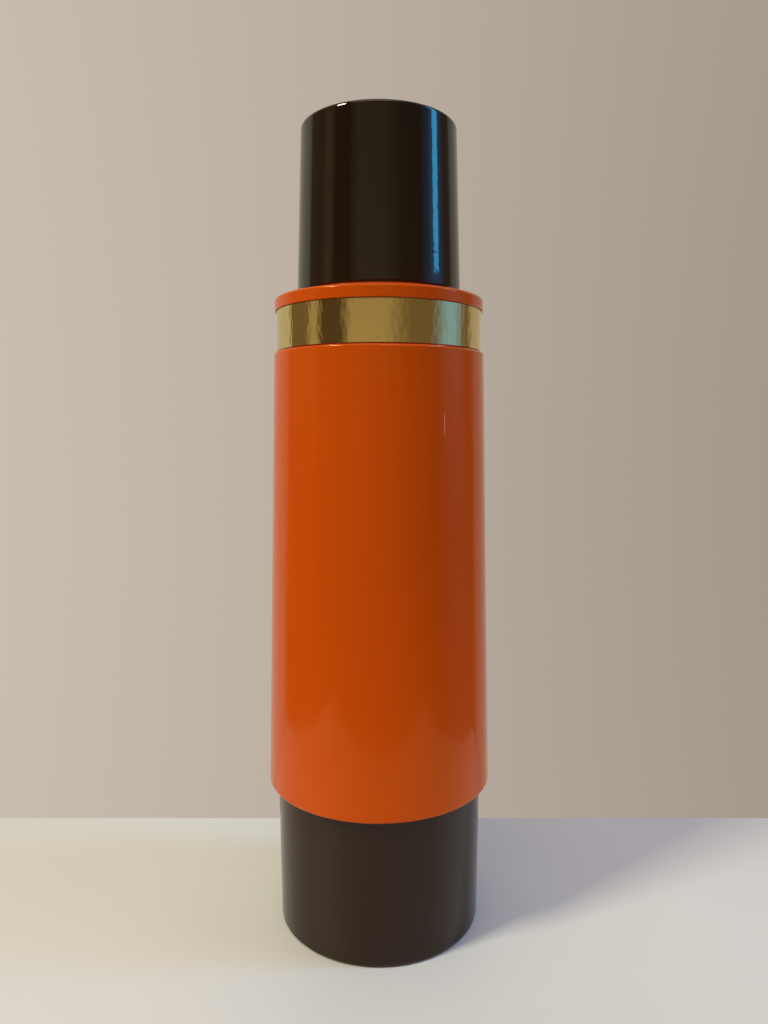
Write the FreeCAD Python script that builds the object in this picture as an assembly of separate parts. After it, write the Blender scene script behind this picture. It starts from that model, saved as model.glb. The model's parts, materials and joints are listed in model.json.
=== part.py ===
"""Half-litre vacuum flask, just under 300 mm tall, as an assembly that comes apart.

The flask stands on its base at z = 0, with its axis on Z. From the bottom up it is:

  base           screw-in foot that carries the glass on a rubber cushion
  casing         tapered tube whose skirt hangs over the base
  collar         moulded shoulder with a foil band, the neck and its two threads
  glass          double-walled vacuum bottle, its two walls fused at the lip
  stopper        hollow screw plug with an insulating core and a sealing washer
  cup            double-walled drinking cup that screws over the neck

All three threads are right-handed, with several starts. Each pair is modelled in mesh, so a
threaded piece can only rise along its own lead.
"""
import FreeCAD
import Part
import math
import os

from FreeCAD import Vector

# ---------------------------------------------------------------- driving dimensions, mm
FLASK_HEIGHT = 299.5
CASING_FOOT_R = 43.0            # widest radius, at the skirt's lower edge
CASING_TOP_R = 39.1
CASING_FOOT_Z = 56.0
CASING_TOP_Z = 219.0
CASING_WALL = 2.2
BASE_FOOT_R = 39.0
BASE_SHOULDER_R = 39.7
BASE_SHOULDER_Z = 62.0
FLANGE_R = 38.7                 # the collar's rim, between the band and the cup
FLANGE_EDGE_Z = 238.2
CUP_SEAT_Z = 240.2              # the collar rises to here, where the cup stands on it
BAND_R = 38.1                   # outer radius of the foil band
BAND_HEIGHT = 14.2
BAND_FOIL = 0.25
NECK_TOP_Z = 251.5
CUP_RIM_R = 30.25
CUP_TOP_R = 28.4
GLASS_R = 33.2
GLASS_NECK_R = 20.3
GLASS_LIP_Z = 230.0
GLASS_WALL = 1.2
VACUUM_GAP = 3.0

# ---------------------------------------------------------------- clearances
TOUCH = 0.1                     # between pieces that rest on each other
SLIP = 0.4                      # radial room in a thread, and round a piece that slides past
EMBED = 0.5                     # how far a fused ridge or rib reaches into its wall


# ---------------------------------------------------------------- threads
class Thread:
    """A right-hand thread with several starts. Ridges stand root_w wide and narrow to crest_w."""

    def __init__(self, male_root, depth, lead, starts, span_deg, foot_z, root_w, crest_w):
        self.male_root = male_root
        self.male_crest = male_root + depth
        self.female_root = self.male_crest + SLIP
        self.female_crest = male_root + SLIP
        self.lead = lead
        self.starts = starts
        self.span_deg = span_deg
        self.foot_z = foot_z
        self.root_w = root_w
        self.crest_w = crest_w

    def ridges(self, root_r, crest_r, foot_z):
        """All starts as solids, from a root radius to a crest radius, the first centred on foot_z."""
        inner = EMBED if crest_r > root_r else -EMBED
        root, half_root, half_crest = root_r - inner, self.root_w / 2, self.crest_w / 2
        section = Part.makePolygon([
            Vector(root, 0, -half_root), Vector(crest_r, 0, -half_crest),
            Vector(crest_r, 0, half_crest), Vector(root, 0, half_root),
            Vector(root, 0, -half_root)])
        rise = self.lead * self.span_deg / 360
        path = Part.makeHelix(self.lead, rise, root_r)
        ridge = Part.Wire(path).makePipeShell([section], True, True)
        made = []
        for start in range(self.starts):
            copy = ridge.copy()
            copy.translate(Vector(0, 0, foot_z))
            copy.rotate(Vector(0, 0, 0), Vector(0, 0, 1), 360 * start / self.starts)
            made.append(copy)
        return made

    def male_ridges(self):
        return self.ridges(self.male_root, self.male_crest, self.foot_z)

    def female_ridges(self):
        """The mating ridges, half a pitch below the male ones that they hook under."""
        half_pitch = self.lead / self.starts / 2
        return self.ridges(self.female_root, self.female_crest, self.foot_z - half_pitch)


BASE_THREAD = Thread(male_root=36.3, depth=1.2, lead=20.0, starts=4, span_deg=76,
                     foot_z=70.0, root_w=2.6, crest_w=1.4)
CUP_THREAD = Thread(male_root=25.2, depth=1.4, lead=20.0, starts=4, span_deg=80,
                    foot_z=244.2, root_w=2.2, crest_w=1.2)
STOPPER_THREAD = Thread(male_root=21.0, depth=1.0, lead=12.0, starts=3, span_deg=100,
                        foot_z=245.5, root_w=1.8, crest_w=1.0)


# ---------------------------------------------------------------- outlines of turned pieces
# A corner is (radius, height) or (radius, height, rounding). A chain is an open run of corners.
def corner(point):
    return point if len(point) == 3 else (point[0], point[1], 0.0)


def unit(a, b):
    """Direction from corner a to corner b in the half plane."""
    length = math.hypot(b[0] - a[0], b[1] - a[1])
    return (b[0] - a[0]) / length, (b[1] - a[1]) / length


def vector(r, z):
    return Vector(r, 0, z)


def rounded(before, here, after):
    """Where the rounding of a corner starts, its middle and where it ends."""
    r, z, rounding = here
    back, ahead = unit(here, before), unit(here, after)
    half = math.acos(max(-1.0, min(1.0, back[0] * ahead[0] + back[1] * ahead[1]))) / 2
    cut = rounding / math.tan(half)
    middle = unit((0, 0), (back[0] + ahead[0], back[1] + ahead[1]))
    reach = rounding / math.sin(half) - rounding
    return (vector(r + back[0] * cut, z + back[1] * cut),
            vector(r + middle[0] * reach, z + middle[1] * reach),
            vector(r + ahead[0] * cut, z + ahead[1] * cut))


def turned(corners):
    """Solid of revolution of a closed outline of corners."""
    corners = [corner(c) for c in corners]
    edges, pen, first = [], None, None
    for i, here in enumerate(corners):
        if here[2]:
            start, middle, end = rounded(corners[i - 1], here, corners[(i + 1) % len(corners)])
        else:
            start = end = vector(here[0], here[1])
        if pen is None:
            first = start
        elif not pen.isEqual(start, 1e-7):
            edges.append(Part.LineSegment(pen, start).toShape())
        if here[2]:
            edges.append(Part.Arc(start, middle, end).toShape())
        pen = end
    edges.append(Part.LineSegment(pen, first).toShape())
    return Part.Face(Part.Wire(edges)).revolve(Vector(0, 0, 0), Vector(0, 0, 1), 360)


def inset(chain, depth):
    """The chain moved by depth to the left of its run, which is inwards for one that runs up the
    outside of a piece. Roundings stay concentric."""
    chain = [corner(c) for c in chain]
    ways = [unit(a, b) for a, b in zip(chain, chain[1:])]
    moved = []
    for i, (r, z, rounding) in enumerate(chain):
        u = ways[max(i - 1, 0)]
        v = ways[min(i, len(ways) - 1)]
        turn = u[0] * v[1] - u[1] * v[0]
        share = depth / (1 + u[0] * v[0] + u[1] * v[1])
        moved.append((r - share * (u[1] + v[1]), z + share * (u[0] + v[0]),
                      max(rounding - math.copysign(depth, turn), 0.0) if rounding else 0.0))
    return moved


def shell(chain, wall):
    """A turned skin of even thickness, whose outside is the chain."""
    return turned(list(chain) + inset(chain, wall)[::-1])


def slab(length, width, z_low, z_high):
    """A box centred on the axis, length along X."""
    box = Part.makeBox(length, width, z_high - z_low)
    box.translate(Vector(-length / 2, -width / 2, z_low))
    return box


def spokes(count, r_in, r_out, width, z_low, z_high, first_deg=0.0):
    """Radial ribs between two radii."""
    made = []
    for i in range(count):
        rib = Part.makeBox(r_out - r_in, width, z_high - z_low)
        rib.translate(Vector(r_in, -width / 2, z_low))
        rib.rotate(Vector(0, 0, 0), Vector(0, 0, 1), first_deg + 360 * i / count)
        made.append(rib)
    return made


def draft_radius(r_low, z_low, r_high, z_high, z):
    """Radius of a straight-drafted wall at height z."""
    return r_low + (r_high - r_low) * (z - z_low) / (z_high - z_low)


def casing_radius(z):
    return draft_radius(CASING_FOOT_R, CASING_FOOT_Z, CASING_TOP_R, CASING_TOP_Z, z)


def cup_radius(z):
    return draft_radius(CUP_RIM_R, CUP_SEAT_Z, CUP_TOP_R, FLASK_HEIGHT, z)


# ---------------------------------------------------------------- base
BASE_WALL = 2.4
BASE_FLOOR_Z = 3.0              # underside of the floor, inside the foot ring
BASE_FLOOR_TOP_Z = 5.5
BASE_NECK_TOP_Z = 80.0
BASE_NECK_BORE_R = 34.0
FOOT_RING_R = 33.0
PANEL_R = 21.0                  # shallow panel in the middle of the underside
PANEL_DEPTH = 0.6
GATE_R = 1.6                    # dimple where the moulding was fed
GATE_DEPTH = 0.35
GASKET_THICK = 1.0
GASKET_MARGIN = 0.5             # how far the gasket stays inside the base's wall


def make_base():
    """Foot moulding: drafted wall, shoulder for the casing, and a threaded neck round the glass."""
    panel_z = BASE_FLOOR_Z + PANEL_DEPTH
    body = turned([
        (0, panel_z + GATE_DEPTH), (GATE_R, panel_z + GATE_DEPTH), (GATE_R + 0.3, panel_z),
        (PANEL_R, panel_z), (PANEL_R + PANEL_DEPTH, BASE_FLOOR_Z),
        (FOOT_RING_R, BASE_FLOOR_Z, 0.8), (FOOT_RING_R + 0.8, 0, 0.4),
        (BASE_FOOT_R, 0, 1.4), (BASE_SHOULDER_R, BASE_SHOULDER_Z, 0.4),
        (BASE_THREAD.male_root, BASE_SHOULDER_Z), (BASE_THREAD.male_root, BASE_NECK_TOP_Z, 0.6),
        (BASE_NECK_BORE_R, BASE_NECK_TOP_Z, 0.6), (BASE_NECK_BORE_R, BASE_SHOULDER_Z - 3.0, 2.0),
        (BASE_SHOULDER_R - BASE_WALL, BASE_SHOULDER_Z - 7.0, 2.0),
        (BASE_FOOT_R - BASE_WALL, BASE_FLOOR_TOP_Z, 2.0), (0, BASE_FLOOR_TOP_Z)])
    return body.multiFuse(BASE_THREAD.male_ridges())


def make_base_gasket():
    """Flat rubber ring on the base's shoulder, pinched under the casing."""
    low, high = BASE_SHOULDER_Z + 0.02, BASE_SHOULDER_Z + GASKET_THICK - TOUCH
    bore, outer = BASE_THREAD.male_root + 0.6, BASE_SHOULDER_R - GASKET_MARGIN
    return turned([(bore, low), (outer, low, 0.3), (outer, high, 0.3), (bore, high)])


# ---------------------------------------------------------------- glass
GLASS_FOOT_Z = 15.0
LIP_HALF_GAP = 1.2              # half the space between the two necks
NECK_BORE_R = GLASS_NECK_R - 2 * (GLASS_WALL + LIP_HALF_GAP)
INNER_R = GLASS_R - GLASS_WALL - VACUUM_GAP
TIP_R = 3.2
TIP_FOOT_Z = 8.0
TIP_FILLET = 1.6                # how far the tip's root spreads into the dome
SHOULDER_START_Z = 184.0        # where the straight wall would meet the shoulder's slope
SHOULDER_END_Z = 205.0


def bottle_chain(r_body, r_neck, z_foot, z_lip):
    """Outside of a bottle blown with a domed foot and a sloping shoulder."""
    return [(0, z_foot), (r_body, z_foot, r_body * 0.72), (r_body, SHOULDER_START_Z, 20.0),
            (r_neck, SHOULDER_END_Z, 9.0), (r_neck, z_lip)]


def make_glass_outer():
    """Outer wall, silvered inside, with the pinched-off pumping tip under it."""
    straight_top = GLASS_LIP_Z - (GLASS_WALL + LIP_HALF_GAP)
    wall = shell(bottle_chain(GLASS_R, GLASS_NECK_R, GLASS_FOOT_Z, straight_top), GLASS_WALL)
    lip = lip_half(outer=True)
    tip = turned([(0, TIP_FOOT_Z), (1.0, TIP_FOOT_Z, 0.5), (TIP_R, GLASS_FOOT_Z - 1.5, 1.5),
                  (TIP_R + TIP_FILLET, GLASS_FOOT_Z + GLASS_WALL / 2),
                  (0, GLASS_FOOT_Z + GLASS_WALL / 2)])
    return wall.multiFuse([lip, tip])


def lip_half(outer):
    """Half of the rounded lip where the walls are fused: the outer bottle's half, or the inner's."""
    middle_r = GLASS_NECK_R - GLASS_WALL - LIP_HALF_GAP
    thick = GLASS_WALL + LIP_HALF_GAP
    side = 1 if outer else -1
    low = GLASS_LIP_Z - thick
    return turned([(middle_r, GLASS_LIP_Z), (middle_r + side * thick, GLASS_LIP_Z, thick - 0.01),
                   (middle_r + side * thick, low), (middle_r + side * LIP_HALF_GAP, low),
                   (middle_r + side * LIP_HALF_GAP, GLASS_LIP_Z - GLASS_WALL, LIP_HALF_GAP - 0.01),
                   (middle_r, GLASS_LIP_Z - GLASS_WALL)])


def make_glass_inner():
    """Inner wall, which holds the drink. Its neck ends in its half of the fused lip."""
    straight_top = GLASS_LIP_Z - (GLASS_WALL + LIP_HALF_GAP)
    foot = GLASS_FOOT_Z + GLASS_WALL + VACUUM_GAP + 1.0
    wall = shell(bottle_chain(INNER_R, NECK_BORE_R + GLASS_WALL, foot, straight_top), GLASS_WALL)
    return wall.fuse(lip_half(outer=False))


SPACER_Z = 62.0
SPACER_R = 4.0
SPACER_COUNT = 3
SPACER_PLAY = 0.05


def make_spacer_pad(number):
    """One of the small fibre pads that keep the two glass walls apart, counted round from +X."""
    low, high = SPACER_Z - SPACER_R - 1, SPACER_Z + SPACER_R + 1
    inner, outer = INNER_R + SPACER_PLAY, INNER_R + VACUUM_GAP - SPACER_PLAY
    room = turned([(inner, low), (outer, low), (outer, high), (inner, high)])
    plug = Part.makeCylinder(SPACER_R, GLASS_R, Vector(0, 0, SPACER_Z), Vector(1, 0, 0))
    plug.rotate(Vector(0, 0, 0), Vector(0, 0, 1), 360 * (number - 1) / SPACER_COUNT)
    return room.common(plug).Solids[0]


# ---------------------------------------------------------------- soft supports for the glass
GUARD_WALL = 1.6
GUARD_TOP_Z = 12.4


def make_tip_guard():
    """Rubber thimble over the pumping tip."""
    bore = TIP_R + 0.3
    floor = TIP_FOOT_Z - 0.3
    return turned([(0, floor - GUARD_WALL), (bore + GUARD_WALL, floor - GUARD_WALL, 1.6),
                   (bore + GUARD_WALL, GUARD_TOP_Z, 0.5), (bore, GUARD_TOP_Z, 0.3), (bore, floor, 1.0),
                   (0, floor)])


CUSHION_THICK = 3.0
CUSHION_R = 35.6
CUSHION_TOP_Z = 34.0
CUSHION_HOLE_R = 6.5
CUSHION_LEG_R = 20.0
CUSHION_LEG_THICK = 2.4
CUSHION_RIBS = 12
CUSHION_RIB_WIDTH = 1.8
CUSHION_RIB_START_R = 9.0
CUSHION_RIB_DROP = 6.0          # the ribs end this far below the dish's edge


def make_cushion():
    """Rubber dish under the glass: a hole for the tip, a ring leg and ribs down to the floor."""
    floor = BASE_FLOOR_TOP_Z + 0.02
    glass = bottle_chain(GLASS_R, GLASS_NECK_R, GLASS_FOOT_Z, GLASS_LIP_Z)
    seat = inset(glass, -TOUCH)
    below = inset(glass, -TOUCH - CUSHION_THICK)
    dish_r = below[1][0] - 1.0
    dish = turned([(0, seat[0][1]), seat[1], (seat[1][0], CUSHION_TOP_Z), (dish_r, CUSHION_TOP_Z, 1.2),
                   (dish_r, below[1][1] + 4, 18.0), (0, below[0][1])])
    leg_top = GLASS_FOOT_Z - 1
    leg_r = CUSHION_LEG_R + CUSHION_LEG_THICK
    leg = turned([(CUSHION_LEG_R, floor), (leg_r, floor), (leg_r, leg_top), (CUSHION_LEG_R, leg_top)])
    ribs = spokes(CUSHION_RIBS, CUSHION_RIB_START_R, CUSHION_R, CUSHION_RIB_WIDTH, floor,
                  CUSHION_TOP_Z - CUSHION_RIB_DROP)
    above_dish = turned([(0, seat[0][1]), seat[1], (seat[1][0], FLASK_HEIGHT), (0, FLASK_HEIGHT)])
    hole = Part.makeCylinder(CUSHION_HOLE_R, CUSHION_TOP_Z)
    rounded_floor = turned([(0, floor), (CUSHION_R, floor, 3.0), (CUSHION_R, CUSHION_TOP_Z, 3.0),
                            (0, CUSHION_TOP_Z)])
    made = dish.multiFuse([leg] + ribs).cut(above_dish).cut(hole).common(rounded_floor)
    return made.Solids[0]


SHOULDER_RING_TOP_Z = 211.0
SHOULDER_RING_LIP_Z = 192.0
SHOULDER_RING_R = 34.2
SHOULDER_RING_BORE_R = 24.5
RING_PLAY = 0.3


def make_shoulder_ring():
    """Foam ring that lies on the glass's shoulder and centres it under the collar."""
    low = SHOULDER_RING_LIP_Z - 1
    blank = turned([(SHOULDER_RING_BORE_R, low), (SHOULDER_RING_R, low),
                    (SHOULDER_RING_R, SHOULDER_RING_TOP_Z, 1.5),
                    (SHOULDER_RING_BORE_R, SHOULDER_RING_TOP_Z, 1.5)])
    glass = inset(bottle_chain(GLASS_R, GLASS_NECK_R, GLASS_FOOT_Z, GLASS_LIP_Z), -RING_PLAY)
    bottle = turned(glass + [(0, GLASS_LIP_Z)])
    skirt = Part.makeCylinder(SHOULDER_RING_R + 1, SHOULDER_RING_LIP_Z)
    return blank.cut(bottle).cut(skirt).Solids[0]


NECK_SEAL_R = 23.0
NECK_SEAL_BORE_R = 16.2
NECK_SEAL_FLANGE = 1.8


def make_neck_seal():
    """Rubber cap ring that grips the glass's lip and seals it against the collar's ledge."""
    low, flange = GLASS_LIP_Z - 7.0, GLASS_LIP_Z + TOUCH
    return turned([(NECK_SEAL_BORE_R, flange, 0.5), (GLASS_NECK_R + SLIP, flange, 0.3),
                   (GLASS_NECK_R + SLIP, low, 0.6), (NECK_SEAL_R, low, 0.6),
                   (NECK_SEAL_R, flange + NECK_SEAL_FLANGE, 0.5),
                   (NECK_SEAL_BORE_R, flange + NECK_SEAL_FLANGE, 0.5)])


# ---------------------------------------------------------------- casing
THREAD_BOSS_TOP_Z = 82.0
THREAD_BOSS_SLOPE = 3.0         # height over which the boss runs out into the wall


def make_casing():
    """Tapered tube. Its lower skirt hangs past the base, and a boss inside takes the base's thread."""
    inner_foot = CASING_FOOT_R - CASING_WALL
    boss_low = BASE_SHOULDER_Z + GASKET_THICK
    root = BASE_THREAD.female_root
    boss_slope_z = THREAD_BOSS_TOP_Z + THREAD_BOSS_SLOPE
    body = turned([
        (inner_foot, CASING_FOOT_Z, 0.5), (CASING_FOOT_R, CASING_FOOT_Z, 0.9),
        (CASING_TOP_R, CASING_TOP_Z, 0.7), (CASING_TOP_R - CASING_WALL, CASING_TOP_Z, 0.3),
        (casing_radius(boss_slope_z) - CASING_WALL, boss_slope_z, 1.5),
        (root, THREAD_BOSS_TOP_Z, 0.5), (root, boss_low, 0.3),
        (casing_radius(boss_low) - CASING_WALL, boss_low)])
    return body.multiFuse(BASE_THREAD.female_ridges())


# ---------------------------------------------------------------- collar and band
COLLAR_SKIRT_FOOT_Z = 203.0
COLLAR_SKIRT_BORE_R = 34.9
COLLAR_WEB = 4.0                # thickness of the top, under the cup's seat
CUP_SEAT_R = CUP_RIM_R + 0.3    # flat seat, from here to the neck
LEDGE_BORE_R = 17.2
LEDGE_TOP_Z = 234.5
POCKET_R = NECK_SEAL_R + 0.3
POCKET_WALL_R = 25.6
POCKET_FOOT_Z = 221.0
BAND_SEAT_GAP = 0.4             # shadow gap between the band and the casing
BAND_SEAT_DEPTH = 0.3           # how far the band's seat stands in from the band's outside
BAND_PLAY = 0.1
SKIRT_STEP = 0.6                # the collar's step that rests on the casing's top
COLLAR_RIBS = 8
COLLAR_RIB_WIDTH = 1.6
BAND_SEAM = 0.4


def make_collar():
    """Shoulder moulding: skirt in the casing, seat for the band, flange, neck with both threads."""
    band_seat_r = BAND_R - BAND_SEAT_DEPTH
    flange_low = CASING_TOP_Z + BAND_SEAT_GAP + BAND_HEIGHT + 2 * BAND_PLAY + TOUCH
    under_top = CUP_SEAT_Z - COLLAR_WEB
    skirt_r = CASING_TOP_R - CASING_WALL - 0.1
    seal_ledge = GLASS_LIP_Z + TOUCH + NECK_SEAL_FLANGE + TOUCH
    body = turned([
        (COLLAR_SKIRT_BORE_R, COLLAR_SKIRT_FOOT_Z, 0.4), (skirt_r, COLLAR_SKIRT_FOOT_Z, 0.8),
        (skirt_r, CASING_TOP_Z), (skirt_r + SKIRT_STEP, CASING_TOP_Z),
        (skirt_r + SKIRT_STEP, CASING_TOP_Z + BAND_SEAT_GAP),
        (band_seat_r, CASING_TOP_Z + BAND_SEAT_GAP), (band_seat_r, flange_low),
        (FLANGE_R, flange_low, 0.25), (FLANGE_R, FLANGE_EDGE_Z, 1.1), (CUP_SEAT_R, CUP_SEAT_Z, 0.5),
        (CUP_THREAD.male_root, CUP_SEAT_Z), (CUP_THREAD.male_root, NECK_TOP_Z, 0.8),
        (STOPPER_THREAD.female_root, NECK_TOP_Z, 0.6), (STOPPER_THREAD.female_root, LEDGE_TOP_Z, 0.4),
        (LEDGE_BORE_R, LEDGE_TOP_Z, 0.5), (LEDGE_BORE_R, seal_ledge, 0.5), (POCKET_R, seal_ledge),
        (POCKET_R, POCKET_FOOT_Z, 0.5), (POCKET_WALL_R, POCKET_FOOT_Z, 0.5),
        (POCKET_WALL_R, under_top, 1.0), (COLLAR_SKIRT_BORE_R, under_top, 1.0)])
    ribs = spokes(COLLAR_RIBS, POCKET_WALL_R - EMBED, COLLAR_SKIRT_BORE_R + EMBED, COLLAR_RIB_WIDTH,
                  SHOULDER_RING_TOP_Z + SLIP, under_top + EMBED)
    return body.multiFuse(ribs + CUP_THREAD.male_ridges() + STOPPER_THREAD.female_ridges())


def make_gold_band():
    """Metallised strip wrapped round the collar, its ends butted at the back."""
    low = CASING_TOP_Z + BAND_SEAT_GAP + BAND_PLAY
    ring = turned([(BAND_R - BAND_FOIL, low), (BAND_R, low), (BAND_R, low + BAND_HEIGHT),
                   (BAND_R - BAND_FOIL, low + BAND_HEIGHT)])
    seam = Part.makeBox(BAND_SEAM, 10, BAND_HEIGHT + 2)
    seam.translate(Vector(-BAND_SEAM / 2, BAND_R - 5, low - 1))
    return ring.cut(seam)


# ---------------------------------------------------------------- cup
CUP_WALL = 1.7
CUP_TOP_ROUND = 1.3
CUP_FOOT_RECESS = 0.8
CUP_FOOT_R = 21.0
THREAD_BAND_TOP_Z = NECK_TOP_Z + 0.8   # the cup's wall is thick up to here, for its thread
LINING_WALL = 1.2
LINING_CEILING_Z = 294.9
LINING_MOUTH_R = 25.8
LINING_TOP_R = 24.9
LINING_FLANGE = 1.4             # thickness of the flange that snaps into the cup
LINING_PLAY = 0.15


def make_cup():
    """Outer shell of the cup, mouth down: thick threaded mouth, thin wall, recessed foot on top."""
    rim_z = CUP_SEAT_Z + TOUCH
    step_z = THREAD_BAND_TOP_Z
    recess_z = FLASK_HEIGHT - CUP_FOOT_RECESS
    top_inside = recess_z - CUP_WALL
    body = turned([
        (CUP_THREAD.female_root, rim_z, 0.5), (CUP_RIM_R, rim_z, 0.8),
        (CUP_TOP_R, FLASK_HEIGHT, CUP_TOP_ROUND), (CUP_FOOT_R + 0.8, FLASK_HEIGHT, 0.5),
        (CUP_FOOT_R, recess_z, 0.5), (GATE_R + 0.3, recess_z), (GATE_R, recess_z - GATE_DEPTH),
        (0, recess_z - GATE_DEPTH),
        (0, top_inside), (cup_radius(top_inside) - CUP_WALL, top_inside, 1.6),
        (cup_radius(step_z) - CUP_WALL, step_z), (CUP_THREAD.female_root, step_z, 0.3)])
    return body.multiFuse(CUP_THREAD.female_ridges())


def make_cup_lining():
    """Inner skin of the cup, snapped in above the thread, with air between it and the shell."""
    flange_low = THREAD_BAND_TOP_Z + TOUCH
    flange_high = flange_low + LINING_FLANGE
    flange_r = cup_radius(flange_high) - CUP_WALL - LINING_PLAY
    return turned([
        (LINING_MOUTH_R, flange_low, 0.5), (flange_r, flange_low), (flange_r, flange_high, 0.3),
        (LINING_MOUTH_R + LINING_WALL, flange_high, 0.4),
        (LINING_TOP_R + LINING_WALL, LINING_CEILING_Z + LINING_WALL, 3.2),
        (0, LINING_CEILING_Z + LINING_WALL), (0, LINING_CEILING_Z),
        (LINING_TOP_R, LINING_CEILING_Z, 2.4)])


# ---------------------------------------------------------------- stopper
STOPPER_FOOT_Z = 216.0
STOPPER_FOOT_R = 13.2
STOPPER_PLUG_R = 14.6
STOPPER_WALL = 1.6
WASHER_THICK = 1.8
STOPPER_SHOULDER_Z = LEDGE_TOP_Z + TOUCH + WASHER_THICK + TOUCH
STOPPER_FLANGE_R = 23.6
STOPPER_FLANGE_Z = NECK_TOP_Z + 3.0
STOPPER_BORE_R = STOPPER_THREAD.male_root - STOPPER_WALL
DISH_WALL = 1.4
DISH_FLOOR = 1.6
DISH_FLOOR_Z = STOPPER_FLANGE_Z - 9.0
BAR_TOP_Z = STOPPER_FLANGE_Z + 2.0
BAR_WIDTH = 7.0
GRIP_NOTCHES = 24
GRIP_NOTCH_R = 0.8
CORE_PLAY = 0.3


def make_stopper_body():
    """Hollow screw plug with a washer shoulder and a notched flange that closes the neck."""
    flange_low = NECK_TOP_Z + TOUCH
    plug_bore = STOPPER_PLUG_R - STOPPER_WALL
    body = turned([
        (0, STOPPER_FOOT_Z), (STOPPER_FOOT_R, STOPPER_FOOT_Z, 1.8),
        (STOPPER_PLUG_R, STOPPER_SHOULDER_Z), (STOPPER_THREAD.male_root, STOPPER_SHOULDER_Z, 0.5),
        (STOPPER_THREAD.male_root, flange_low), (STOPPER_FLANGE_R, flange_low, 0.4),
        (STOPPER_FLANGE_R, STOPPER_FLANGE_Z, 0.8), (STOPPER_BORE_R, STOPPER_FLANGE_Z, 0.4),
        (STOPPER_BORE_R, STOPPER_SHOULDER_Z + STOPPER_WALL, 0.8),
        (plug_bore, STOPPER_SHOULDER_Z + STOPPER_WALL, 0.5),
        (STOPPER_FOOT_R - STOPPER_WALL, STOPPER_FOOT_Z + STOPPER_WALL, 0.5),
        (0, STOPPER_FOOT_Z + STOPPER_WALL)])
    notches = []
    for i in range(GRIP_NOTCHES):
        notch = Part.makeCylinder(GRIP_NOTCH_R, 4, Vector(STOPPER_FLANGE_R + 0.3, 0, NECK_TOP_Z))
        notch.rotate(Vector(0, 0, 0), Vector(0, 0, 1), 360 * (i + 0.5) / GRIP_NOTCHES)
        notches.append(notch)
    return body.multiFuse(STOPPER_THREAD.male_ridges()).cut(Part.makeCompound(notches))


def make_stopper_cap():
    """Dished lid pressed into the plug, with a bar across it to turn it by."""
    outer_r = STOPPER_BORE_R - 0.05
    wall_r = outer_r - DISH_WALL
    rim_z = STOPPER_FLANGE_Z - 0.6
    low = DISH_FLOOR_Z - DISH_FLOOR
    dish = turned([(0, low), (outer_r, low, 0.4), (outer_r, rim_z, 0.3), (wall_r, rim_z, 0.6),
                   (wall_r, DISH_FLOOR_Z, 1.2), (0, DISH_FLOOR_Z)])
    bar = slab(2 * wall_r + 1.0, BAR_WIDTH, DISH_FLOOR_Z - 1.0, BAR_TOP_Z)
    top_edges = [e for e in bar.Edges if min(v.Z for v in e.Vertexes) > BAR_TOP_Z - 0.01]
    bar = bar.makeFillet(1.6, top_edges)
    within = turned([(0, 0), (outer_r, 0), (outer_r, BAR_TOP_Z - 2.0), (outer_r - 3.0, BAR_TOP_Z + 0.1),
                     (0, BAR_TOP_Z + 0.1)])
    return dish.fuse(bar.common(within))


def make_stopper_core():
    """Foam plug that insulates the hollow stopper."""
    top = DISH_FLOOR_Z - DISH_FLOOR - TOUCH
    low = STOPPER_FOOT_Z + STOPPER_WALL + TOUCH
    foot_r = STOPPER_FOOT_R - STOPPER_WALL - CORE_PLAY
    plug_r = STOPPER_PLUG_R - STOPPER_WALL - CORE_PLAY
    head_r = STOPPER_BORE_R - 3 * CORE_PLAY
    neck = STOPPER_SHOULDER_Z + STOPPER_WALL + TOUCH
    return turned([(0, low), (foot_r, low, 0.8), (plug_r, neck), (head_r, neck, 0.8),
                   (head_r, top, 0.6), (0, top)])


def make_stopper_seal():
    """Flat washer between the stopper's shoulder and the collar's ledge."""
    low = LEDGE_TOP_Z + TOUCH
    high = low + WASHER_THICK
    bore = STOPPER_PLUG_R + SLIP
    return turned([(bore, low, 0.4), (STOPPER_THREAD.male_root - 0.6, low, 0.4),
                   (STOPPER_THREAD.male_root - 0.6, high, 0.4), (bore, high, 0.4)])


# ---------------------------------------------------------------- export
PIECES = {
    "base": make_base,
    "base_gasket": make_base_gasket,
    "cushion": make_cushion,
    "tip_guard": make_tip_guard,
    "glass_outer": make_glass_outer,
    "glass_inner": make_glass_inner,
    "spacer_pad_1": lambda: make_spacer_pad(1),
    "spacer_pad_2": lambda: make_spacer_pad(2),
    "spacer_pad_3": lambda: make_spacer_pad(3),
    "shoulder_ring": make_shoulder_ring,
    "neck_seal": make_neck_seal,
    "casing": make_casing,
    "collar": make_collar,
    "gold_band": make_gold_band,
    "cup": make_cup,
    "cup_lining": make_cup_lining,
    "stopper_body": make_stopper_body,
    "stopper_cap": make_stopper_cap,
    "stopper_core": make_stopper_core,
    "stopper_seal": make_stopper_seal,
}


def main():
    os.makedirs("parts", exist_ok=True)
    for name, make in PIECES.items():
        piece = make()
        solids = piece.Solids
        piece = solids[0] if len(solids) == 1 else Part.makeCompound(solids)
        print(f"{name:14s} solids {len(solids)} valid {piece.isValid()} volume {piece.Volume:.0f}")
        piece.exportStep(f"parts/{name}.step")


main()
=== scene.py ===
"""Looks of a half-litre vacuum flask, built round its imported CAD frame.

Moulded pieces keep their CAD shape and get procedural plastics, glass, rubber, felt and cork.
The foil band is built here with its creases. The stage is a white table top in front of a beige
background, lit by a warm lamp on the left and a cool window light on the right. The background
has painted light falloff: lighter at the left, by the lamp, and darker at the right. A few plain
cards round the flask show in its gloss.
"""

import json
import math

import bpy
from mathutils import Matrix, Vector, noise


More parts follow.
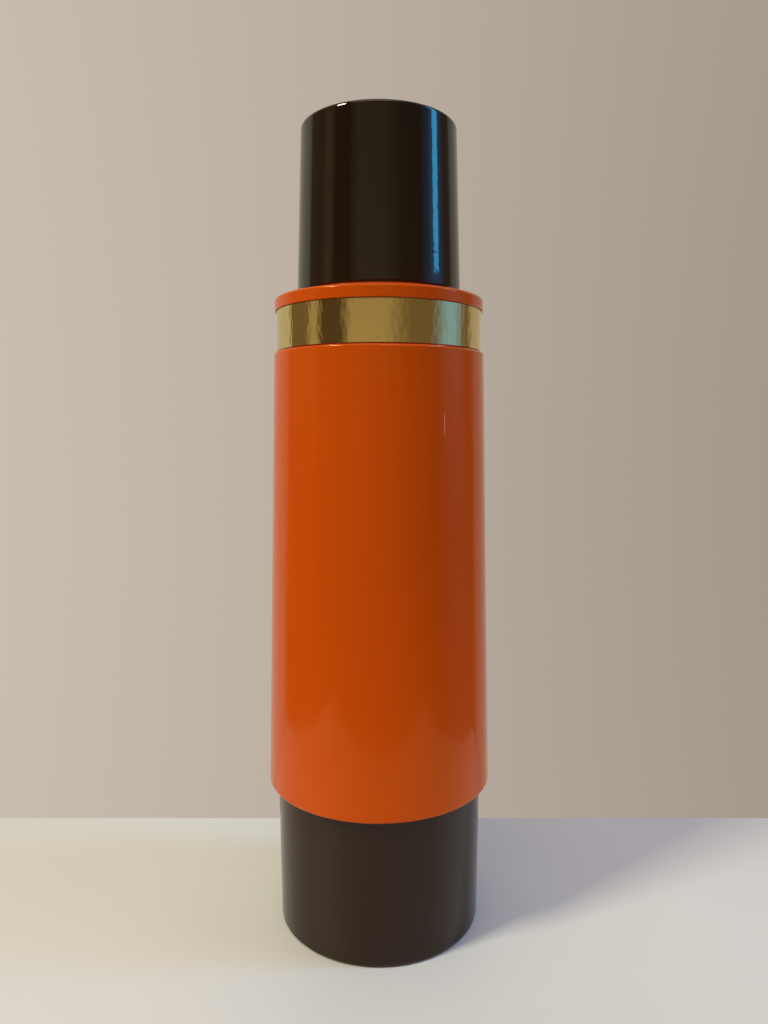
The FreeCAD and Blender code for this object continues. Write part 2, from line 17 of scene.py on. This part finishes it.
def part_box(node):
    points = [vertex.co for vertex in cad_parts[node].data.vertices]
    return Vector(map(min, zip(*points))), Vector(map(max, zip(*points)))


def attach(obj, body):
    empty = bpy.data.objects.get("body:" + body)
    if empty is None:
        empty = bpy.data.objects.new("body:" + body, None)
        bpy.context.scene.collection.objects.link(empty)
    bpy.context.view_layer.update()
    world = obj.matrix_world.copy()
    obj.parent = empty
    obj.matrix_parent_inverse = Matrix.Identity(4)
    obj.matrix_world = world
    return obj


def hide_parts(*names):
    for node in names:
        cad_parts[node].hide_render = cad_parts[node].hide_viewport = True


MM = 0.001
TURN = 2 * math.pi
NOISE_LOW, NOISE_HIGH = 0.3, 0.7        # where nearly all of a noise texture's values lie

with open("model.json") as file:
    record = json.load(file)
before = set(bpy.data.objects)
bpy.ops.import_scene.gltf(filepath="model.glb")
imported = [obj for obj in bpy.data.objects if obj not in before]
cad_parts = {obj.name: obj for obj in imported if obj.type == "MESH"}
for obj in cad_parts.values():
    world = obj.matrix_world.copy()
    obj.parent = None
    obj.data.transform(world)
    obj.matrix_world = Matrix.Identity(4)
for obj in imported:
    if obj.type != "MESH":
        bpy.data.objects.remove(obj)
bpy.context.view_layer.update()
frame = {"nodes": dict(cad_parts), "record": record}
NODES = frame["nodes"]


# ---------------------------------------------------------------- sizes read from the frame, in mm
def radius(node):
    low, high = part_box(node)
    return max(high.x, high.y) / MM


def foot(node):
    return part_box(node)[0].z / MM


def top(node):
    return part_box(node)[1].z / MM


# ---------------------------------------------------------------- node materials
class Finish:
    """A Principled material with helpers that wire procedural detail into it.

    Constants are set on the shader's own sockets, by socket name.
    """

    def __init__(self, name, color, roughness, constants=None):
        self.material = bpy.data.materials.new(name)
        self.material.use_nodes = True
        self.tree = self.material.node_tree
        self.shader = self.tree.nodes["Principled BSDF"]
        self.color = color
        self.shader.inputs["Base Color"].default_value = (*color, 1.0)
        self.shader.inputs["Roughness"].default_value = roughness
        for socket, value in (constants or {}).items():
            self.shader.inputs[socket].default_value = value
        self.place = self.add("ShaderNodeTexCoord").outputs["Object"]
        self.height = None
        self.parts = None

    def add(self, kind, **settings):
        node = self.tree.nodes.new(kind)
        for key, value in settings.items():
            setattr(node, key, value)
        return node

    def link(self, output, target):
        self.tree.links.new(output, target)

    def noise(self, size_mm, stretch=(1, 1, 1), detail=2.0, seed=0.0):
        """Noise from 0 to 1, with features about size_mm wide, stretched along X, Y and Z."""
        mapping = self.add("ShaderNodeMapping")
        mapping.inputs["Scale"].default_value = [1 / (size_mm * MM * s) for s in stretch]
        mapping.inputs["Location"].default_value = (seed, seed * 0.7, seed * 1.3)
        self.link(self.place, mapping.inputs["Vector"])
        made = self.add("ShaderNodeTexNoise")
        made.inputs["Scale"].default_value = 1.0
        made.inputs["Detail"].default_value = detail
        self.link(mapping.outputs["Vector"], made.inputs["Vector"])
        return made.outputs["Fac"]

    def remap(self, value, from_low, from_high, to_low, to_high):
        made = self.add("ShaderNodeMapRange")
        for socket, number in zip(("From Min", "From Max", "To Min", "To Max"),
                                  (from_low, from_high, to_low, to_high)):
            made.inputs[socket].default_value = number
        self.link(value, made.inputs["Value"])
        return made.outputs["Result"]

    def math(self, operation, a, b=None):
        made = self.add("ShaderNodeMath", operation=operation)
        for socket, value in zip(made.inputs, (a, b)):
            if isinstance(value, (int, float)):
                socket.default_value = value
            elif value is not None:
                self.link(value, socket)
        return made.outputs["Value"]

    def axis(self, letter):
        """One coordinate of the place, in metres."""
        if self.parts is None:
            self.parts = self.add("ShaderNodeSeparateXYZ")
            self.link(self.place, self.parts.inputs["Vector"])
        return self.parts.outputs[letter]

    def pulse(self, value, middle_mm, width_mm):
        """1 where value is at middle_mm, easing to 0 at half the width on either side."""
        away = self.math("ABSOLUTE", self.math("SUBTRACT", value, middle_mm * MM))
        made = self.add("ShaderNodeMapRange", interpolation_type="SMOOTHSTEP")
        made.inputs["From Max"].default_value = width_mm / 2 * MM
        made.inputs["To Min"].default_value = 1.0
        made.inputs["To Max"].default_value = 0.0
        self.link(away, made.inputs["Value"])
        return made.outputs["Result"]

    def scratch_with_painted_highlight(self, azimuth, low_mm, high_mm, width_mm):
        """1 along an upright line on the front half, at an azimuth and between two heights."""
        turn = math.radians(azimuth)
        aside = self.math("ADD", self.math("MULTIPLY", self.axis("X"), math.cos(turn)),
                          self.math("MULTIPLY", self.axis("Y"), math.sin(turn)))
        line = self.math("MULTIPLY", self.pulse(aside, 0, width_mm),
                         self.math("LESS_THAN", self.axis("Y"), 0.0))
        return self.math("MULTIPLY", line, self.pulse(self.axis("Z"), (low_mm + high_mm) / 2,
                                                      high_mm - low_mm))

    def tint(self, factor, color_low, color_high):
        """Base colour that runs from one colour to another with factor."""
        mix = self.add("ShaderNodeMix", data_type="RGBA")
        mix.inputs["A"].default_value = (*color_low, 1.0)
        mix.inputs["B"].default_value = (*color_high, 1.0)
        self.link(factor, mix.inputs["Factor"])
        self.link(mix.outputs["Result"], self.shader.inputs["Base Color"])

    def shade(self, factor, spread):
        """Base colour varied by a share of itself, darker where factor is low."""
        low = [c * (1 - spread) for c in self.color]
        high = [min(c * (1 + spread), 1.0) for c in self.color]
        self.tint(self.remap(factor, NOISE_LOW, NOISE_HIGH, 0.0, 1.0), low, high)

    def mark(self, factor, color):
        """Another colour over the base colour, where factor is high."""
        mix = self.add("ShaderNodeMix", data_type="RGBA")
        self.link(self.shader.inputs["Base Color"].links[0].from_socket, mix.inputs["A"])
        mix.inputs["B"].default_value = (*color, 1.0)
        self.link(factor, mix.inputs["Factor"])
        self.link(mix.outputs["Result"], self.shader.inputs["Base Color"])

    def rough(self, factor, low, high):
        self.link(self.remap(factor, NOISE_LOW, NOISE_HIGH, low, high), self.shader.inputs["Roughness"])

    def bump(self, factor, depth_mm):
        """Adds a relief, depth_mm from lowest to highest, on top of what is already there."""
        made = self.add("ShaderNodeBump")
        made.inputs["Distance"].default_value = depth_mm * MM
        self.link(factor, made.inputs["Height"])
        if self.height is not None:
            self.link(self.height, made.inputs["Normal"])
        self.height = made.outputs["Normal"]
        self.link(self.height, self.shader.inputs["Normal"])


def orange_plastic():
    """Glossy moulding with slow upright ripples, a fine orange peel and one hairline scratch whose pale
    colour is a painted highlight.
    """
    m = Finish("orange_plastic", (0.665, 0.087, 0.0042), 0.12,
               {"IOR": 1.48, "Specular Tint": (0.62, 0.48, 0.14, 1.0)})
    m.shade(m.noise(60, (1, 1, 3)), 0.04)
    m.rough(m.noise(9, (1, 1, 2), detail=5), 0.09, 0.14)
    m.bump(m.noise(16, (1, 1, 9), detail=1), 0.03)
    m.bump(m.noise(2.5, detail=1, seed=3), 0.0015)
    # Painted highlight: the hairline scratch is coloured pale orange where it would catch the lamp's
    # light.
    m.mark(m.scratch_with_painted_highlight(azimuth=34.3, low_mm=187, high_mm=199, width_mm=0.36), (1.0, 0.62, 0.42))
    return m.material


def cup_plastic():
    """High-gloss near-black brown, a little uneven, with a sink line where the thick mouth ends."""
    m = Finish("cup_plastic", (0.0150, 0.0076, 0.0040), 0.05, {"IOR": 1.51})
    m.shade(m.noise(35), 0.1)
    m.rough(m.noise(6, (1, 1, 4), detail=6), 0.03, 0.07)
    m.bump(m.noise(9, (1, 1, 8), detail=1), 0.03)
    m.bump(m.noise(2.6, (1, 1, 1.4), detail=2, seed=5), 0.022)
    m.bump(m.noise(1.1, (1, 1, 1.8), detail=1, seed=6), 0.004)
    m.bump(m.pulse(m.axis("Z"), middle_mm=251, width_mm=2.6), -0.018)
    return m.material


def lining_plastic():
    m = Finish("lining_plastic", (0.03, 0.017, 0.012), 0.12, {"IOR": 1.5})
    m.shade(m.noise(30), 0.1)
    m.rough(m.noise(8, detail=4), 0.09, 0.16)
    m.bump(m.noise(12, (1, 1, 5), detail=1), 0.012)
    return m.material


def base_plastic():
    """Duller brown, with a faint grain and upright drag marks."""
    m = Finish("base_plastic", (0.020, 0.0095, 0.0052), 0.18,
               {"IOR": 1.42, "Specular Tint": (1.0, 0.86, 0.72, 1.0)})
    m.shade(m.noise(25, (1, 1, 2), detail=4), 0.08)
    m.rough(m.noise(5, (1, 1, 3), detail=5), 0.12, 0.19)
    m.bump(m.noise(0.7, detail=2), 0.0016)
    m.bump(m.noise(14, (1, 1, 6), detail=1, seed=2), 0.02)
    return m.material


def stopper_plastic():
    m = Finish("stopper_plastic", (0.06, 0.035, 0.024), 0.34, {"IOR": 1.5})
    m.shade(m.noise(12, detail=4), 0.1)
    m.rough(m.noise(4, detail=5), 0.28, 0.4)
    m.bump(m.noise(0.6, detail=2), 0.008)
    return m.material


def gold_foil():
    """Metallised film: mirror-bright, with hazy rubbed patches and hairline scratches."""
    m = Finish("gold_foil", (0.78, 0.60, 0.27), 0.06, {"Metallic": 1.0})
    m.shade(m.noise(14, detail=3), 0.04)
    m.rough(m.noise(5, (1, 1, 0.7), detail=6), 0.01, 0.05)
    m.bump(m.noise(1.4, (1, 1, 2), detail=4), 0.018)
    crumpled = m.math("MULTIPLY", m.remap(m.noise(11, seed=4), 0.45, 0.6, 0.0, 1.0),
                      m.noise(0.8, (1, 1, 0.8), detail=3, seed=9))
    m.bump(crumpled, 0.02)
    m.bump(m.noise(0.25, (6, 6, 1), detail=2, seed=8), 0.003)
    return m.material


def silvered_glass():
    """Clear glass over silver."""
    m = Finish("silvered_glass", (0.86, 0.85, 0.83), 0.04,
               {"Metallic": 1.0, "Coat Weight": 1.0, "Coat Roughness": 0.02})
    m.shade(m.noise(40), 0.04)
    m.rough(m.noise(15, detail=4), 0.025, 0.07)
    m.bump(m.noise(18, detail=1), 0.05)
    return m.material


def rubber(name, color):
    m = Finish(name, color, 0.65, {"IOR": 1.5})
    m.shade(m.noise(6, detail=5), 0.15)
    m.rough(m.noise(2, detail=4), 0.55, 0.75)
    m.bump(m.noise(0.4, detail=3), 0.012)
    return m.material


def felt():
    m = Finish("felt", (0.42, 0.38, 0.32), 0.95, {"Sheen Weight": 0.5})
    m.shade(m.noise(1.2, detail=8), 0.3)
    m.bump(m.noise(0.7, (1, 1, 0.5), detail=8), 0.25)
    return m.material


def fibre():
    m = Finish("fibre", (0.55, 0.5, 0.42), 0.9)
    m.shade(m.noise(0.8, detail=6), 0.2)
    m.bump(m.noise(0.4, detail=5), 0.05)
    return m.material


def cork():
    """Pressed granules with darker flecks."""
    m = Finish("cork", (0.42, 0.26, 0.14), 0.85)
    cells = m.add("ShaderNodeTexVoronoi")
    cells.inputs["Scale"].default_value = 1 / (2.2 * MM)
    m.link(m.place, cells.inputs["Vector"])
    grain = m.math("MULTIPLY", cells.outputs["Distance"], m.noise(3, detail=6))
    m.tint(m.remap(grain, 0.05, 0.45, 0.0, 1.0), (0.5, 0.32, 0.18), (0.2, 0.1, 0.05))
    m.bump(grain, 0.12)
    return m.material


def paint_cad_nodes():
    """Gives every CAD node the material of its record slot."""
    made = {
        "orange_plastic": orange_plastic(),
        "cup_plastic": cup_plastic(),
        "lining_plastic": lining_plastic(),
        "base_plastic": base_plastic(),
        "stopper_plastic": stopper_plastic(),
        "gold_foil": gold_foil(),
        "silvered_glass": silvered_glass(),
        "rubber": rubber("rubber", (0.05, 0.045, 0.04)),
        "seal_rubber": rubber("seal_rubber", (0.5, 0.46, 0.4)),
        "felt": felt(),
        "fibre": fibre(),
        "cork": cork(),
    }
    for part in frame["record"]["subparts"]:
        NODES[part["node"]].material_slots[0].material = made[part["material_slot"]]
    return made


# ---------------------------------------------------------------- foil band
BAND_STEPS = 1200               # columns of faces round the strip
BAND_ROWS = 28
BAND_FOIL = 0.25                # thickness and gap at the seam, in mm
BAND_SEAM = 0.4
BAND_SHARP_EDGE = 40            # degrees
SLOW_DENT = 0.05                # depths in mm of the foil's waves, ripples and creases
FINE_DENT = 0.030
CREASE_DENT = 0.020
CREASE_SHARPNESS = 7


def wave(angle, height, around, upward, shift=(0, 0, 0)):
    """Smooth noise round zero on the band: more waves with a larger around or upward."""
    place = Vector((math.cos(angle) * around, math.sin(angle) * around, height * upward))
    return noise.noise(place + Vector(shift))


def dent(angle, height):
    """How far the foil is dented at an angle and a height, in mm."""
    slow = 0.5 + wave(angle, height, 7, 0.10)
    fine = 0.5 + wave(angle, height, 22, 0.30, (0, 0, 5))
    sharp = 1 - abs(wave(angle, height, 13, 0.12, (3, 0, 0))) * CREASE_SHARPNESS
    return SLOW_DENT * slow + FINE_DENT * fine + CREASE_DENT * max(sharp, 0)


def make_band(material):
    """Thin strip bent round the collar, with its ends butted at the back. Its upper and lower
    edges are dented half as deep."""
    outer, low, high = radius("gold_band"), foot("gold_band"), top("gold_band")
    gap = BAND_SEAM / outer
    verts, faces = [], []
    for i in range(BAND_STEPS + 1):
        angle = TURN / 4 + gap / 2 + (TURN - gap) * i / BAND_STEPS
        column = []
        for j in range(BAND_ROWS + 1):
            z = low + (high - low) * j / BAND_ROWS
            share = 0.5 if j in (0, BAND_ROWS) else 1.0
            column.append((outer - dent(angle, z) * share, z))
        column.append((outer - BAND_FOIL, high))
        column.append((outer - BAND_FOIL, low))
        verts += [(r * math.cos(angle) * MM, r * math.sin(angle) * MM, z * MM) for r, z in column]
    ring = BAND_ROWS + 3
    for i in range(BAND_STEPS):
        for j in range(ring):
            a, b = i * ring + j, i * ring + (j + 1) % ring
            faces.append((a, a + ring, b + ring, b))
    faces.append(tuple(range(ring)))
    faces.append(tuple(BAND_STEPS * ring + j for j in reversed(range(ring))))
    mesh = bpy.data.meshes.new("foil_band")
    mesh.from_pydata(verts, [], faces)
    mesh.shade_smooth()
    mesh.set_sharp_from_angle(angle=math.radians(BAND_SHARP_EDGE))
    band = bpy.data.objects.new("foil_band", mesh)
    bpy.context.scene.collection.objects.link(band)
    mesh.materials.append(material)
    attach(band, "shell")
    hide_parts("gold_band")


# ---------------------------------------------------------------- stage, light and camera
# The stage is in metres. The table's front corners show as scallops in the casing.
TABLE_LEFT = -0.26
TABLE_RIGHT = 0.24
TABLE_FRONT = -0.255
TABLE_BACK = 0.068
TABLE_THICK = 0.02


def make_table():
    """White table top."""
    corners = [(TABLE_LEFT, TABLE_FRONT), (TABLE_RIGHT, TABLE_FRONT),
               (TABLE_RIGHT, TABLE_BACK), (TABLE_LEFT, TABLE_BACK)]
    verts = [(x, y, z) for z in (0.0, -TABLE_THICK) for x, y in corners]
    faces = [(0, 1, 2, 3), (7, 6, 5, 4)]
    faces += [(i, i + 4, (i + 1) % 4 + 4, (i + 1) % 4) for i in range(4)]
    mesh = bpy.data.meshes.new("table")
    mesh.from_pydata(verts, [], faces)
    table = bpy.data.objects.new("table", mesh)
    bpy.context.scene.collection.objects.link(table)
    m = Finish("table_paint", (0.725, 0.73, 0.775), 0.5)
    m.shade(m.noise(90, detail=3), 0.012)
    m.bump(m.noise(1.5, detail=3), 0.01)
    mesh.materials.append(m.material)


AIM = Vector((0, 0, 0.16))      # what the lights point at


def soft_light(name, azimuth, elevation, distance, width, height, color, power, mirrored=True):
    """Area light aimed at the flask, of power watts. Azimuth 0 is in front of it, and positive to
    the right. One that isn't mirrored lights the flask without showing in its gloss."""
    a, e = math.radians(azimuth), math.radians(elevation)
    away = Vector((math.sin(a) * math.cos(e), -math.cos(a) * math.cos(e), math.sin(e)))
    data = bpy.data.lights.new(name, "AREA")
    data.shape = "RECTANGLE"
    data.size, data.size_y = width, height
    data.color = color
    data.energy = power
    light = bpy.data.objects.new(name, data)
    light.location = AIM + away * distance
    light.rotation_mode = "QUATERNION"
    light.rotation_quaternion = away.to_track_quat("Z", "Y")
    light.visible_camera = False
    light.visible_glossy = mirrored
    bpy.context.scene.collection.objects.link(light)


# The studio is a beige wall all round, dimmer at the right, with a few soft-edged cards before it.
# Each card runs from one azimuth to another, in degrees, 0 in front of the flask and positive to
# the right.
WALL = (0.54, 0.50, 0.38)
SHADED_WALL = (0.42, 0.37, 0.31)
BLACK_CARD = (0.09, 0.06, 0.03)
BROWN_CARD = (0.18, 0.13, 0.07)
WARM_CARD = (0.40, 0.32, 0.18)
BLUE_CARD = (0.24, 0.50, 0.90)
CARDS = [
    (-110, -86, BROWN_CARD),
    (-78, -71, WARM_CARD),
    (-63, -42, BLACK_CARD),
    (-28, 6, WARM_CARD),
    (34, 60, BROWN_CARD),
    (80, 92, BLUE_CARD),
    (106, 118, BROWN_CARD),
]
CARD_EDGE = 4                   # degrees over which the outermost cards blend into the wall
# Share of that light by the sine of the elevation, in front of the flask.
LIGHT_BY_HEIGHT = [(-0.5, 0.12), (-0.12, 0.33), (0.0, 0.62), (0.12, 1.0), (0.45, 0.75), (1.0, 0.9)]
SIDE_ON, BEHIND = 0.1, 0.5      # y of a direction, where the shading by height fades and ends
# What the camera sees behind the table instead, across directions whose x is up to BACKDROP_HALF.
# Painted light falloff: the backdrop is painted lighter at the left, where the lamp is, and darker at
# the right.
BACKDROP_PAINTED_LIT_LEFT = (0.60, 0.52, 0.445)
BACKDROP_PAINTED_SHADED_RIGHT = (0.36, 0.30, 0.25)
BACKDROP_HALF = 0.5


class WorldTree:
    """The world's node tree, with short calls to wire it."""

    def __init__(self):
        world = bpy.data.worlds.new("studio")
        bpy.context.scene.world = world
        world.use_nodes = True
        self.tree = world.node_tree
        self.tree.nodes.clear()

    def add(self, kind, inputs=(), **settings):
        """A node whose inputs are numbers, or outputs of other nodes. None leaves one as it is."""
        node = self.tree.nodes.new(kind)
        for key, value in settings.items():
            setattr(node, key, value)
        for socket, value in zip(node.inputs, inputs):
            if isinstance(value, bpy.types.NodeSocket):
                self.tree.links.new(value, socket)
            elif value is not None:
                socket.default_value = value
        return node

    def ramp(self, factor, stops, interpolation):
        """Colour ramp with (place, colour) stops."""
        node = self.add("ShaderNodeValToRGB", [factor])
        elements = node.color_ramp.elements
        node.color_ramp.interpolation = interpolation
        for i, (place, color) in enumerate(stops):
            element = elements[i] if i < 2 else elements.new(place)
            element.position = place
            element.color = (*color, 1)
        return node.outputs["Color"]

    def remap(self, value, from_low, from_high):
        node = self.add("ShaderNodeMapRange", [value, from_low, from_high], clamp=True)
        return node.outputs["Result"]


def make_world():
    """Beige background with painted light falloff, lighter at the left and darker at the right, and the
    wall and cards that the gloss reflects.
    """
    w = WorldTree()
    place = w.add("ShaderNodeTexCoord").outputs["Generated"]
    x, y, z = w.add("ShaderNodeSeparateXYZ", [place]).outputs
    forward = w.add("ShaderNodeMath", [y, -1.0], operation="MULTIPLY").outputs[0]
    azimuth = w.add("ShaderNodeMath", [x, forward], operation="ARCTAN2").outputs[0]
    edges = [(-180, WALL), (CARDS[0][0] - CARD_EDGE, WALL)]
    for left, right, color in CARDS:
        edges += [(left, color), (right, color)]
    edges += [(CARDS[-1][1] + CARD_EDGE, SHADED_WALL), (180, WALL)]
    stops = [((degrees + 180) / 360, color) for degrees, color in edges]
    around = w.ramp(w.remap(azimuth, -math.pi, math.pi), stops, "LINEAR")
    heights = [((height + 1) / 2, (light,) * 3) for height, light in LIGHT_BY_HEIGHT]
    above = w.ramp(w.remap(z, -1.0, 1.0), heights, "EASE")
    behind = w.remap(y, SIDE_ON, BEHIND)
    strength = w.add("ShaderNodeMix", [behind, None, above, 1.0]).outputs[0]
    studio = w.add("ShaderNodeBackground", [around, strength]).outputs[0]

    # The backdrop the camera sees: painted light falloff from lighter at the left to darker at the
    # right.
    side = w.remap(x, -BACKDROP_HALF, BACKDROP_HALF)
    painted_falloff = w.ramp(side, [(0.0, BACKDROP_PAINTED_LIT_LEFT), (1.0, BACKDROP_PAINTED_SHADED_RIGHT)], "LINEAR")
    plain = w.add("ShaderNodeBackground", [painted_falloff]).outputs[0]
    seen = w.add("ShaderNodeLightPath").outputs["Is Camera Ray"]
    shown = w.add("ShaderNodeMixShader", [seen, studio, plain]).outputs[0]
    w.add("ShaderNodeOutputWorld", [shown])


def make_lights():
    soft_light("lamp", -58, 41, 1.5, 0.26, 0.26, (1.0, 0.96, 0.67), 15.2)
    soft_light("ceiling", -10, 70, 1.6, 1.2, 1.2, (1.0, 0.83, 0.83), 4.9)
    soft_light("fill", 80, 16, 1.7, 0.8, 0.8, (1.0, 0.60, 0.70), 5.9, mirrored=False)
    soft_light("window", 86.5, 32, 1.7, 0.27, 0.95, (0.05, 0.58, 1.0), 4.9)
    soft_light("window_edge", 85, 32, 1.7, 0.55, 0.95, (0.02, 0.30, 0.95), 0.9)


CAMERA_PLACE = (0.0019, -0.2941, 0.1909)
CAMERA_TILT = 6.10              # degrees below level
CAMERA_LENS = 27.04             # mm, on a 36 mm sensor


def make_camera():
    data = bpy.data.cameras.new("camera")
    data.lens = CAMERA_LENS
    data.sensor_width = 36.0
    camera = bpy.data.objects.new("camera", data)
    camera.location = CAMERA_PLACE
    camera.rotation_euler = (math.radians(90 - CAMERA_TILT), 0, 0)
    bpy.context.scene.collection.objects.link(camera)
    bpy.context.scene.camera = camera


materials = paint_cad_nodes()
make_band(materials["gold_foil"])
make_table()
make_world()
make_lights()
make_camera()
bpy.context.scene.view_settings.view_transform = "Standard"
